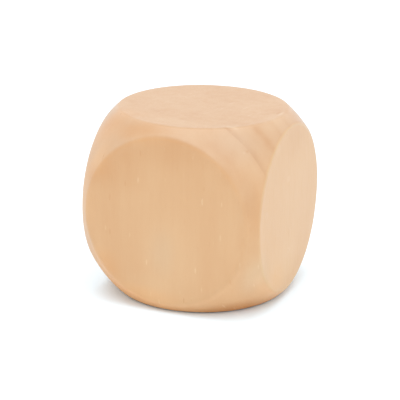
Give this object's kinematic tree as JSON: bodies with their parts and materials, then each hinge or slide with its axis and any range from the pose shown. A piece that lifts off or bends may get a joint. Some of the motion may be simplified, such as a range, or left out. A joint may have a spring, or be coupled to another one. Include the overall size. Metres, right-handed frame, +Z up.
{
  "type": "wooden die",
  "caption": "Plain wooden die: a cube rounded by a ball, with a blank round flat on every side and softly sanded rims, to roll as it is or to mark.",
  "frame": {"origin": "middle of the flat the die rests on", "axes": "+Z up along the grain, -Y towards the flat that faces the viewer in the picture, +X to its right"},
  "size_m": [0.03, 0.03, 0.03],
  "materials": {
    "wood": "bare, fine sanded"
  },
  "bodies": {
    "root": {"die": "wood"}
  },
  "joints": []
}
